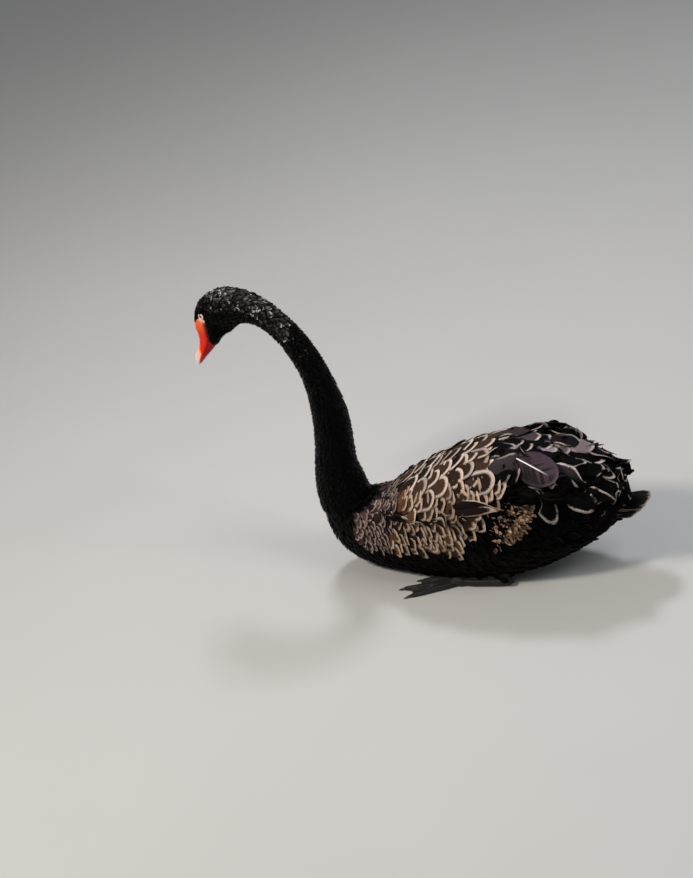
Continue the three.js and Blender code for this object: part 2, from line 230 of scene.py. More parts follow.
def makeStudio():
    bpy.context.scene.view_settings.view_transform = "Standard"     # keeps the reds and the blacks full
    # Plaster: chalky and even, with a faint mottle
    material = makeMottled("matte plaster floor", 1.6, 3.0, studio["floorTones"], {"Roughness": 0.85})
    size, level = studio["floorSize"], studio["floorLevel"]
    corners = [(-size, -size, level), (size, -size, level), (size, size, level), (-size, size, level)]
    showPiece("floor", meshFrom(corners, [(0, 1, 2, 3)]), material)
    for i, (place, size, power, colour) in enumerate(studio["lamps"]):
        lamp = bpy.data.lights.new(f"lamp{i}", "AREA")
        lamp.size = size
        lamp.energy = power
        lamp.color = linear(colour)[:3]
        holder = placed(f"lamp{i}", lamp)
        holder.location = place
        holder.rotation_mode = "QUATERNION"
        holder.rotation_quaternion = (Vector(studio["lampsFace"]) - Vector(place)).to_track_quat("-Z", "Y")
    world = bpy.data.worlds.new("sky")
    bpy.context.scene.world = world
    world.use_nodes = True
    world.node_tree.nodes["Background"].inputs[0].default_value = linear(studio["sky"])
    world.node_tree.nodes["Background"].inputs[1].default_value = studio["skyStrength"]


makeStudio()
print("camera and studio made")


# Lie of the coat: a smooth line from the bill over the head, down the neck and along the body to the tail
def spineLine():
    low, high = (np.array(corner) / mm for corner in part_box("trunk"))
    alongTrunk = [(0.16, 0.47), (0.34, 0.49), (0.58, 0.56), (0.8, 0.62), (1.0, 0.6), (1.25, 0.58)]
    knots = [centreOf("bill_upper"), centreOf("head"), *(centreOf(n) for n in reversed(neckNodes))]
    knots += [np.array([low[0] + a * (high - low)[0], 0, h * high[2]]) for a, h in alongTrunk]
    knots = np.array([2 * knots[0] - knots[1], *knots, 2 * knots[-1] - knots[-2]])
    steps = np.linspace(0, 1, 24, endpoint=False)[:, None]
    line = []
    for a, b, c, d in zip(knots, knots[1:], knots[2:], knots[3:]):
        line.append(0.5 * (2 * b + (c - a) * steps + (2 * a - 5 * b + 4 * c - d) * steps ** 2
                           + (3 * b - a - 3 * c + d) * steps ** 3))
    return np.concatenate(line)


spine = spineLine()
spineWays = unit(np.gradient(spine, axis=0))
spineRun = np.concatenate([[0], np.cumsum(np.linalg.norm(np.diff(spine, axis=0), axis=1))])
spineTree = KDTree(len(spine))
for index, point in enumerate(spine.tolist()):
    spineTree.insert(point, index)
spineTree.balance()


def lieAt(points, normals):
    nearest = np.array([spineTree.find(p)[1] for p in points.tolist()])
    ways = spineWays[nearest]
    # on the rear end, which faces along the line, the feathers hang down
    hang = smoothStep(0.35, 0.9, (ways * normals).sum(1)) * smoothStep(150, 220, points[:, 0])
    ways = ways - hang[:, None] * (0, 0, 1.5)
    return unit(ways - (ways * normals).sum(1)[:, None] * normals), nearest


# Unwrap of the skin: along the spine, and round it
def unwrapOf(points, nearest):
    offset = points - spine[nearest]
    outward = np.cross([0.0, 1.0, 0.0], spineWays[nearest])
    angle = np.arctan2(offset[:, 1], (offset * outward).sum(1))
    return np.stack([0.01 + 0.98 * spineRun[nearest] / spineRun[-1], 0.5 + 0.49 * angle / math.pi], 1)


# Skin: one closed surface round the flesh solids, smoothed and set in by the coat's depth
skin = {
    "voxel": 2.3,
    "stub": 23,                                 # how far it runs into the bill
    "tailEnd": 298,                             # where it ends under the tail feathers
    "softRounds": 80,                           # smoothing of the body and neck
    "search": 9,                                # how far out the solids' surface is looked for
    "inHorn": 2.6,                              # how deep the stub lies inside the horn of the bill
    "overHorn": 1.3,                            # how far the chin stands over it
    # by kind of node: how much of the smoothing it takes, and how deep its coat is
    "keepShape": {"head": 0.45, "foot": 0.1, "leg": 0.25, "tail": 0.5, "bill": 0.3, "claw": 0.1, "eye": 0.4},
    "coatDepth": {"head": 1.0, "neck": 2.4, "trunk": 5.2, "wing": 7.0, "tail": 4.0},
}
bill = {
    "base": np.array([-392.0, 0, 489]),
    "slope": math.radians(60.6),
    "length": 74.0,
    "depth": 40.0,
    "voxel": 0.75,
    "softRounds": 16,
}
billAhead = np.array([-math.cos(bill["slope"]), 0, -math.sin(bill["slope"])])
billUp = np.array([-math.sin(bill["slope"]), 0, math.cos(bill["slope"])])


def remeshed(shape, voxel):
    work = placed("work", meshOf(shape))
    voxels = work.modifiers.new("voxels", "REMESH")
    voxels.mode = "VOXEL"
    voxels.voxel_size = voxel * mm
    result = bpy.data.meshes.new_from_object(work.evaluated_get(bpy.context.evaluated_depsgraph_get()))
    bpy.data.objects.remove(work)
    return result


def neighboursOf(mesh):
    pairs = readAll(mesh.edges, "vertices", 2, np.int64)
    return np.concatenate([pairs, pairs[:, ::-1]])


# Smoothing that doesn't shrink: each round draws points in, then lets them out again
def smoothed(values, pairs, rounds, share=1.0, steps=(0.5, -0.52)):
    values = values.reshape(len(values), -1).astype(float)
    share = np.broadcast_to(np.asarray(share, float).reshape(-1, 1), (len(values), 1))
    here, there = pairs.T
    degree = np.maximum(np.bincount(here, minlength=len(values)), 1)[:, None]
    for _ in range(rounds):
        for step in steps:
            total = np.stack([np.bincount(here, column[there], len(values)) for column in values.T], 1)
            values = values + step * share * (total / degree - values)
    return values


# Plain averaging of one value per point with its neighbours'
def evened(values, pairs, rounds):
    return smoothed(values, pairs, rounds, 1.0, (0.6,))[:, 0]


def solidTree():
    corners, faces, owners = [], [], []
    for name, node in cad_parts.items():
        start = len(corners)
        corners += cornersOf(node.data).tolist()
        for polygon in node.data.polygons:
            faces.append([start + v for v in polygon.vertices])
            owners.append(name.split("_")[0])
    return BVHTree.FromPolygons(corners, faces), np.array(owners)


solids, solidKinds = solidTree()


def kindsAt(points):
    return solidKinds[[solids.find_nearest(Vector(p))[2] for p in points.tolist()]]


# Outline of the bare face
bareSkin = {
    "eyeLevel": 529,
    "cheek": -376.5,                            # x of its rear edge at eye level, and how much that leans
    "cheekLean": 0.17,
    "forehead": 508,                            # z of its upper edge over the bill's base
    "foreheadPeak": 0.7,                        # how that rises to the sides, and to the rear
    "foreheadRise": 0.55,
    "chin": (-1, 17),                           # where along the bill the feathered chin ends
    "reach": (48, 44),                          # how far from the bill's base the last of it is
}


# x of the line behind which the cheek is feathered
def cheekLine(z):
    return bareSkin["cheek"] - bareSkin["cheekLean"] * (bareSkin["eyeLevel"] - z)


# How far ahead of the bill's base and above it
def onBill(points):
    offset = points - bill["base"]
    return offset @ billAhead, offset @ billUp, np.linalg.norm(offset, axis=1)


# Bare red skin between bill and eye, and a feathered wedge of chin that runs forward under the bill
def bareFace(points):
    x, y, z = points[:, 0], np.abs(points[:, 1]), points[:, 2]
    along, up, away = onBill(points)
    forehead = bareSkin["forehead"] + bareSkin["foreheadPeak"] * np.minimum(y, 16) \
        + bareSkin["foreheadRise"] * (x + 405)
    lores = smoothStep(1.6, -1.6, x - cheekLine(z)) * smoothStep(1.8, -1.8, z - forehead)
    chinEdge = np.where(up < -9, np.clip(-5.5 - 0.95 * up, *bareSkin["chin"]), -60)
    lores = lores * smoothStep(-1.5, 1.5, along - chinEdge)
    sheath = smoothStep(0, 2, along - np.maximum(chinEdge, 1))
    return np.maximum(lores, sheath) * smoothStep(*bareSkin["reach"], away)


# The flesh solids as one mesh. Only stubs of the bill and tail are flesh: the rest is horn, or feathers alone
def fleshShape():
    billCut = (bill["base"] + billAhead * skin["stub"], billAhead)
    tailCut = (np.array([skin["tailEnd"], 0, 0]), np.array([1.0, 0, 0]))
    ends = {"bill_upper": billCut, "bill_lower": billCut, "tail": tailCut}
    shape = bmesh.new()
    for name in [*fleshNodes, "bill_upper", "bill_lower"]:
        solid = bmesh.new()
        solid.from_mesh(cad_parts[name].data)
        bmesh.ops.remove_doubles(solid, verts=solid.verts, dist=0.01 * mm)
        if name in ends:
            cut, way = ends[name]
            everything = solid.verts[:] + solid.edges[:] + solid.faces[:]
            bmesh.ops.bisect_plane(solid, geom=everything, plane_co=cut * mm, plane_no=way, clear_outer=True)
            bmesh.ops.holes_fill(solid, edges=[e for e in solid.edges if e.is_boundary])
        shape.from_mesh(meshOf(solid))
    return shape


def makeSkinShape():
    mesh = remeshed(fleshShape(), skin["voxel"])
    points, pairs = cornersOf(mesh), neighboursOf(mesh)
    kinds = kindsAt(points)
    share = np.ones(len(points))
    depth = np.zeros(len(points))
    for kind, value in skin["keepShape"].items():
        share[kinds == kind] = value
    for kind, value in skin["coatDepth"].items():
        depth[kinds == kind] = value
    points = smoothed(points, pairs, skin["softRounds"], evened(share, pairs, 8))
    setCorners(mesh, points)
    # the smoothing sinks the surface, so it is let out again to the level of the solids
    gaps = []
    for point, normal in zip(points.tolist(), normalsOf(mesh).tolist()):
        ahead = Vector(normal)
        hit = solids.ray_cast(Vector(point) + ahead * skin["search"], -ahead, 2 * skin["search"])[3]
        gaps.append(0 if hit is None else skin["search"] - hit)
    gaps = evened(np.clip(gaps, -1, 7), pairs, 14)
    points = points + normalsOf(mesh) * gaps[:, None]
    setCorners(mesh, points)
    print("skin let out by", gaps.mean().round(2), "mm on average")
    depth *= 1 - bareFace(points)
    along, _, away = onBill(points)
    inBill = smoothStep(0.5, 6, along) * (away < 40)
    # the wedge of chin lies over the horn, the rest of the stub inside it
    under = np.where(bareFace(points) > 0.5, skin["inHorn"], -skin["overHorn"])
    depth = evened(depth, pairs, 22) + evened(under, pairs, 1) * inBill
    setCorners(mesh, points - normalsOf(mesh) * depth[:, None])
    return mesh


skinMesh = makeSkinShape()
print("skin shape:", len(skinMesh.polygons), "faces")


# Eyes: a glossy ball with a dark pupil, set in a pale ring of lid
eye = {
    "radius": 5.35,
    "centre": np.array([-381.0, 18.6, 533.0]),
    "gaze": unit(np.array([-0.34, 0.93, 0.04])),    # looks out and a little ahead
    "pupil": (0.32, 0.37),                          # soft edges, as shares of a quarter turn from the gaze
    "iris": (0.67, 0.77),
    "lidRadius": 3.95,
    "lidWidth": 1.95,
    "lidHeight": 3.6,
    "lidThickness": 0.95,
    "bank": 12,                                     # how far out the skin is raised to the lids
    "refine": (13, 10),                             # the skin is made finer twice, within so much
}


def eyeAxes(side):
    gaze = eye["gaze"] * (1, side, 1)
    ahead = unit(np.array([-1.0, 0, 0]) + gaze[0] * gaze)
    return gaze, ahead, np.cross(gaze, ahead)


# Height above the eye's middle along its gaze, and distance from the gaze line
def fromEye(points, side):
    offset = points - eye["centre"] * (1, side, 1)
    height = offset @ eyeAxes(side)[0]
    return height, np.sqrt(np.maximum((offset ** 2).sum(1) - height ** 2, 0))


def makeEyeMaterial():
    # Wet cornea over a rose iris and a black pupil: a hard small highlight
    material, add, _ = newMaterial("wet eyeball")
    gaze = add("UVMap", [], uv_map="gaze")
    away = add("SeparateXYZ", [gaze])
    streaks = add("TexNoise", {"Vector": gaze, "Scale": 60.0, "Detail": 2.0})
    colour = add("Mix", [streaks, linear("#8c2f28"), linear("#d9958a")], **colours)
    inner, outer = eye["pupil"]
    colour = layTones(add, colour, [(away, outer, inner, "#040303"), (away, *eye["iris"], "#120807")])
    add("OutputMaterial", [add("BsdfPrincipled", {"Base Color": colour, "Roughness": 0.06, "IOR": 1.38,
                                                  "Coat Weight": 1.0, "Coat Roughness": 0.02})])
    return material


def makeEyes():
    material = makeEyeMaterial()
    for word, side in (("left", -1), ("right", 1)):
        gaze, ahead, down = eyeAxes(side)
        shape = bmesh.new()
        bmesh.ops.create_uvsphere(shape, u_segments=40, v_segments=28, radius=mm)
        mesh = meshOf(shape)
        ball = cornersOf(mesh)
        turn = np.arccos(np.clip(ball[:, 2], -1, 1))
        size = eye["radius"] * (1 + 0.05 * np.exp(-(turn / 0.55) ** 2))      # the cornea stands a little proud
        setCorners(mesh, eye["centre"] * (1, side, 1) + size[:, None] * (ball @ np.array([ahead, down, gaze])))
        aroundGaze = 0.5 + 0.5 * np.arctan2(ball[:, 1], ball[:, 0]) / math.pi
        addMap(mesh, "gaze", np.stack([turn / (math.pi / 2), aroundGaze], 1))
        piece = showPiece("eyeball_" + word, mesh, material)
        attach(piece, "root")
        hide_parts("eye_" + word)


makeEyes()


# Skin round each eye is refined, drawn in behind the ball and raised to carry the ring of lid
def foldLids(mesh):
    shape = bmesh.new()
    shape.from_mesh(mesh)
    centres = [Vector(eye["centre"] * (1, side, 1) * mm) for side in (-1, 1)]
    for reach in eye["refine"]:
        near = [e for e in shape.edges if any(((e.verts[0].co + e.verts[1].co) / 2 - c).length < reach * mm
                                              for c in centres)]
        bmesh.ops.subdivide_edges(shape, edges=near, cuts=1, use_grid_fill=True)
    bmesh.ops.triangulate(shape, faces=[f for f in shape.faces if len(f.verts) > 4])
    shape.to_mesh(mesh)
    shape.free()
    points = cornersOf(mesh)
    outer = eye["lidRadius"] + 0.8 * eye["lidWidth"]
    for side in (-1, 1):
        height, reach = fromEye(points, side)
        near = (reach < eye["bank"]) & (height > -7)
        crease = 0.35 * np.exp(-((reach - outer - 1.6) / 0.6) ** 2)
        bank = eye["lidHeight"] - 0.35 - 0.1 * np.maximum(reach - outer, 0) ** 1.3 - crease
        away = smoothStep(outer + 1.0, outer + 5.5, reach)
        socket = smoothStep(eye["lidRadius"] + 0.5, eye["lidRadius"] - 0.9, reach)
        target = (bank * (1 - away) + height * away) * (1 - socket) - 1.5 * socket
        points[near] += eyeAxes(side)[0] * (target - height)[near, None]
    setCorners(mesh, points)


# The rim of the lids: a soft ring, open a little wider ahead and below
def lidRing(side, around=72, tube=14):
    gaze, ahead, down = eyeAxes(side)
    down = down * np.sign(-down[2])
    turn = np.linspace(0, 2 * math.pi, around, endpoint=False)[:, None]
    tube = np.linspace(0, 2 * math.pi, tube, endpoint=False)[None]
    swell = 1 + 0.16 * np.cos(turn - 0.9) ** 2 * (np.cos(turn - 0.9) > 0)
    radius = eye["lidRadius"] * (1 + 0.05 * np.cos(2 * turn - 1.8)) + eye["lidWidth"] * swell * np.cos(tube)
    height = eye["lidHeight"] - 0.06 * np.cos(2 * turn) + eye["lidThickness"] * np.sin(tube)
    points = eye["centre"] * (1, side, 1) + height[..., None] * gaze \
        + (radius * np.cos(turn))[..., None] * ahead + (radius * np.sin(turn))[..., None] * down
    index = np.arange(points.shape[0] * points.shape[1]).reshape(points.shape[:2])
    ahead, aside = np.roll(index, -1, 0), np.roll(index, -1, 1)
    faces = np.stack([index, ahead, np.roll(ahead, -1, 1), aside], -1).reshape(-1, 4)
    return points.reshape(-1, 3), faces


foldLids(skinMesh)


# Tracts of feathers, sizes in mm. Roots stand "along" and "across" apart, and "rows" and "columns" are a vane's
# own faces. "base" is how high its root stands and "pitch" how steeply it rises, "camber" how far its edges
# fall, "curl" the turn of its tip in radians, "yaw" and "twist" how much it strays and rolls, "lean" how far it
# rolls outward. "tip" is where its end begins, as a share of the length, and "square" how blunt that end is.
# "ripple" and "wave" are the height and length of the waves in its edges. Roots that are "rowed" stand in rows
# across the body, which wander by so much; "smaller" scales the feathers between two places along x; "open"
# keeps them off a place, and "facing" off surfaces that look down more than that.
tracts = {
    "face": {"along": 1.55, "across": 1.55, "length": 4.4, "width": 2.2, "rows": 3, "columns": 2, "base": 0.02,
             "pitch": 0.17, "camber": 0.3, "yaw": 0.16, "tip": 0.45, "thick": 0.2, "curl": 0.0},
    "crown": {"along": 2.9, "across": 3.1, "length": 9.5, "width": 6.2, "rows": 6, "columns": 4, "base": 0.1,
              "pitch": 0.17, "camber": 0.9, "yaw": 0.4, "tip": 0.45, "thick": 0.25, "curl": 0.4, "twist": 0.3,
              "smaller": ((-398, 0.5), (-352, 1.0))},
    "throat": {"along": 2.2, "across": 2.2, "length": 8.5, "width": 3.6, "rows": 4, "columns": 2, "base": 0.3,
               "pitch": 0.2, "camber": 0.4, "yaw": 0.2, "tip": 0.4, "thick": 0.25, "curl": 0.15},
    "neck": {"along": 3.1, "across": 3.1, "length": 12, "width": 6.0, "rows": 4, "columns": 4, "base": 0.1,
             "pitch": 0.2, "camber": 0.8, "yaw": 0.25, "tip": 0.5, "thick": 0.3, "curl": 0.25},
    "breast": {"along": 4.6, "across": 5.4, "length": 19, "width": 10, "rows": 4, "columns": 4, "base": 0.4,
               "pitch": 0.19, "camber": 0.9, "yaw": 0.12, "tip": 0.55, "thick": 0.4, "curl": 0.1},
    "shoulder": {"along": 8.0, "across": 11.0, "length": 25, "width": 18, "rows": 6, "columns": 6, "base": 0.5,
                 "pitch": 0.17, "camber": 1.0, "yaw": 0.24, "tip": 0.6, "square": 2.6, "thick": 0.4,
                 "curl": 0.15, "ripple": 0.7, "wave": 10, "rowed": 2.0},
    "flank": {"along": 11.0, "across": 18.0, "length": 37, "width": 31, "rows": 8, "columns": 10, "base": 0.7,
              "pitch": 0.14, "camber": 2.2, "yaw": 0.24, "tip": 0.62, "square": 3.2, "thick": 0.45,
              "curl": 0.12, "ripple": 1.2, "wave": 13, "rowed": 2.6, "lean": 0.08},
    "thigh": {"along": 3.2, "across": 3.9, "length": 18, "width": 7.5, "rows": 5, "columns": 4, "base": 1.6,
              "pitch": 0.2, "camber": 0.8, "yaw": 0.7, "tip": 0.45, "thick": 0.3, "curl": 0.8, "ripple": 0.6,
              "twist": 0.4},
    "shadow": {"along": 10.0, "across": 13.0, "length": 33, "width": 19, "rows": 6, "columns": 4, "base": 0.8,
               "pitch": 0.15, "camber": 1.3, "yaw": 0.16, "tip": 0.6, "thick": 0.45, "curl": 0.12},
    "belly": {"along": 9.0, "across": 11.0, "length": 29, "width": 17, "rows": 5, "columns": 4, "base": 0.7,
              "pitch": 0.14, "camber": 1.2, "yaw": 0.12, "tip": 0.6, "thick": 0.4, "curl": 0.05},
    "mantle": {"along": 18.0, "across": 30.0, "length": 56, "width": 44, "rows": 12, "columns": 8, "base": 1.2,
               "pitch": 0.12, "camber": 3.2, "yaw": 0.13, "tip": 0.6, "thick": 0.55, "curl": 0.05,
               "ripple": 0.9, "wave": 26, "rowed": 5.0, "lean": 0.1},
    "rump": {"along": 12.0, "across": 15.0, "length": 34, "width": 20, "rows": 8, "columns": 6, "base": 0.6,
             "pitch": 0.08, "camber": 1.6, "yaw": 0.12, "tip": 0.62, "thick": 0.45, "curl": 0.04},
    "ruffle": {"along": 20.0, "across": 24.0, "length": 68, "width": 37, "rows": 20, "columns": 8, "base": 2.0,
               "pitch": 0.08, "camber": 4.5, "yaw": 0.17, "tip": 0.62, "thick": 0.6, "curl": 0.36,
               "ripple": 2.2, "wave": 40, "twist": 0.12, "lean": 0.14, "rowed": 7.0,
               "open": ((166, 57, 244), 26), "smaller": ((210, 1.0), (285, 0.75)), "facing": 0.05},
}

# Edges of the tracts as they run on either side of the bird
mantleLow = np.array([(-112, 160), (-90, 173), (-47, 180), (-19, 189), (19, 205), (53, 214), (85, 216),
                      (125, 226)])
ruffleLow = np.array([(105, 222), (125, 208), (150, 202), (200, 194), (250, 174), (275, 162), (330, 158)])
flankRear = np.array([(80, -2), (95, 6), (119, 24), (148, 44), (173, 62), (205, 90), (225, 100)])
patchFront = np.array([(80, 70), (111, 84), (125, 84), (156, 102), (169, 118), (195, 128)])
patchRear = np.array([(80, 100), (119, 126), (142, 142), (159, 158), (196, 170)])


# Tract of each point. Later ones go over earlier ones: body, then neck, head, bill and what is bare
def tractOf(points, kinds):
    x, y, z = points[:, 0], np.abs(points[:, 1]), points[:, 2]
    # the edges between tracts wander a little
    wobble = 5 * np.sin(0.11 * x + 1.3) + 4 * np.sin(0.17 * z + 0.6) + 3 * np.sin(0.23 * y)
    tract = np.full(len(points), "flank", dtype="<U10")
    tract[x > np.interp(z, *flankRear.T) + 0.5 * wobble] = "shadow"
    inPatch = (x > np.interp(z, *patchFront.T)) & (x < np.interp(z, *patchRear.T) + 0.4 * wobble)
    tract[inPatch & (z > 110 + 0.5 * wobble) & (z < 190)] = "thigh"
    tract[z < 78 + wobble] = "belly"
    tract[(x < -118 + 0.35 * (z - 130) + wobble) & (z > 60)] = "shoulder"
    tract[(x < -150 - 0.95 * y + 0.6 * wobble) | ((x < -130) & (z < 70))] = "breast"
    rear = 70 - 0.35 * (240 - z)
    tract[(z > np.interp(x, *mantleLow.T)) & (x > -122) & (x <= rear)] = "mantle"
    tract[(x > 243) & (z > 118)] = "rump"
    tract[(z > np.interp(x, *ruffleLow.T)) & (x > rear)] = "ruffle"
    tract[(x > 288) & (kinds == "tail")] = "bare"
    tract[(kinds == "neck") & (z > 158)] = "neck"
    tract[(kinds == "head") | ((kinds == "neck") & (x < -232) & (z > 440))] = "crown"
    along, up, _ = onBill(points)
    tract[(kinds == "head") & (((x < -366) & (z < 545)) | (along > -16))] = "face"
    tract[(kinds == "head") & (up < -12) & (along > -36)] = "throat"
    tract[kinds == "bill"] = np.where(along[kinds == "bill"] < 18, "face", "bare")
    tract[(bareFace(points) > 0.45) | np.isin(kinds, ["leg", "foot", "claw"])] = "bare"
    for side in (-1, 1):
        height, reach = fromEye(points, side)
        tract[(reach < 5.7) & (height > -8)] = "bare"
    return tract


skinMesh.calc_loop_triangles()
skinPoints = cornersOf(skinMesh)
triangles = readAll(skinMesh.loop_triangles, "vertices", 3, np.int64)
skinTree = BVHTree.FromPolygons(skinPoints.tolist(), triangles.tolist())
middles = skinPoints[triangles].mean(1)
edgesA = skinPoints[triangles[:, 1]] - skinPoints[triangles[:, 0]]
edgesB = skinPoints[triangles[:, 2]] - skinPoints[triangles[:, 0]]
crosses = np.cross(edgesA, edgesB)
triangleAreas = np.linalg.norm(crosses, axis=1) / 2
triangleNormals = unit(crosses)
triangleTracts = tractOf(middles, kindsAt(middles))
print("tracts:", {name: int((triangleTracts == name).sum()) for name in [*tracts, "bare"]})


def onSkin(points):
    found = [skinTree.find_nearest(Vector(p)) for p in points.tolist()]
    return np.array([f[0][:] for f in found]), np.array([f[1][:] for f in found])


# Keep points that are at least the spacing apart
def spread(points, spacing):
    near = [(i, j, k) for i in (-1, 0, 1) for j in (-1, 0, 1) for k in (-1, 0, 1)]
    cells, kept = {}, []
    keys = np.floor(points / spacing).astype(int).tolist()
    for index, (p, key) in enumerate(zip(points.tolist(), keys)):
        close = (q for i, j, k in near for q in cells.get((key[0] + i, key[1] + j, key[2] + k), ()))
        if all((p[0] - q[0]) ** 2 + (p[1] - q[1]) ** 2 + (p[2] - q[2]) ** 2 >= spacing ** 2 for q in close):
            cells.setdefault(tuple(key), []).append(p)
            kept.append(index)
    return np.array(kept)


# How roots are picked
picking = {
    "tries": 8,                     # for each feather, where they stand free and where they stand in rows
    "rowTries": 90,
    "rowBand": 0.09,                # half the width of a row, as a share of its step
    "rowSlant": 0.12,               # how far rows run ahead as they go down
    "rowSway": 17,
    "heart": 90,                    # height of the middle that rows go round
    "lidGap": 5.6,                  # how far feathers keep from the gaze line
}


def rootsOf(tract):
    shape = tracts[tract]
    inside = np.where(triangleTracts == tract)[0]
    areas = triangleAreas[inside]
    rowed = "rowed" in shape
    tries = picking["rowTries"] if rowed else picking["tries"]
    count = int(tries * areas.sum() / (shape["along"] * shape["across"]))
    picked = inside[rng.choice(len(inside), count, p=areas / areas.sum())]
    a, b = rng.random((2, count, 1))
    a, b = np.where(a + b > 1, 1 - a, a), np.where(a + b > 1, 1 - b, b)
    points = skinPoints[triangles[picked, 0]] + a * edgesA[picked] + b * edgesB[picked]
    if rowed:                       # rows are filled from the ridge down
        aside = np.abs(points[:, 1])
        wave = picking["rowSlant"] * aside + shape["rowed"] * np.sin(points[:, 2] / picking["rowSway"])
        place = (points[:, 0] + wave) / shape["along"]
        row = np.floor(place)
        # every other row starts half a feather from the ridge
        inRow = (np.abs(place - row - 0.5) < picking["rowBand"]) & (aside > (row % 2) * 0.5 * shape["across"])
        order = np.lexsort((np.arctan2(aside, points[:, 2] - picking["heart"])[inRow], row[inRow]))
        points, picked = points[inRow][order], picked[inRow][order]
    kept = spread(points * (shape["across"] / shape["along"], 1, 1), shape["across"])
    points, normals = points[kept], triangleNormals[picked[kept]]
    ways = lieAt(points, normals)[0]
    clear = normals[:, 2] > shape.get("facing", -2)
    for side in (-1, 1):            # no feather lies across the rim of a lid
        for share in (0.5, 1.0):
            height, reach = fromEye(points + ways * shape["length"] * share, side)
            clear &= (reach > picking["lidGap"]) | (np.abs(height) > 12)
        if "open" in shape:         # nor across the broad single feather
            middle, gap = shape["open"]
            offset = points + ways * shape["length"] * 0.5 - np.array(middle) * (1, side, 1)
            clear &= np.linalg.norm(offset, axis=1) > gap
    return points[clear], normals[clear], ways[clear]


# Flat grid of one vane: how far along each row is, the half width of each place, and how far across it is
def planOf(shape):
    rows, columns, tip = shape["rows"], shape["columns"], shape["tip"]
    body = (rows + 1) // 2          # half of the rows are on the straight part, half round the tip
    v = np.concatenate([np.linspace(0, tip, body, endpoint=False),
                        tip + (1 - tip) * np.sin(np.linspace(0, math.pi / 2, rows + 1 - body))])
    root = 0.35 + 0.65 * np.sin(np.clip(v / 0.45, 0, 1) * math.pi / 2)
    towards = np.clip((v - tip) / (1 - tip), 0, 1)
    square = shape.get("square", 2)
    halfWidth = root * np.maximum(1 - towards ** square, 0.003) ** (1 / square)
    return v, np.linspace(-1, 1, columns + 1)[None, :] * halfWidth[:, None]


# Faces of a closed lens: an upper and a lower grid that share their rim, and the upper place of each corner
def lensFaces(rows, columns):
    top = np.arange((rows + 1) * (columns + 1)).reshape(rows + 1, columns + 1)
    under = top.copy()
    under[1:-1, 1:-1] = top.size + np.arange((rows - 1) * (columns - 1)).reshape(rows - 1, columns - 1)
    upper = np.stack([top[:-1, :-1], top[:-1, 1:], top[1:, 1:], top[1:, :-1]], -1).reshape(-1, 4)
    lower = np.stack([under[:-1, :-1], under[1:, :-1], under[1:, 1:], under[:-1, 1:]], -1).reshape(-1, 4)
    return np.concatenate([upper, lower])


lay = {
    "stray": 0.3,                   # spread of curl and base, as a share of each
    "bendFrom": 0.45,               # where along a vane its curl begins
    "flatCurl": 0.85,               # how much of curl and pitch is lost along the ridge and on the rear end
    "flatPitch": 0.7,
    "floor": 0.4,                   # lowest place of a vane, so that nothing goes through the floor
    "patch": 0.003,                 # size of one vane in the unwrap
}


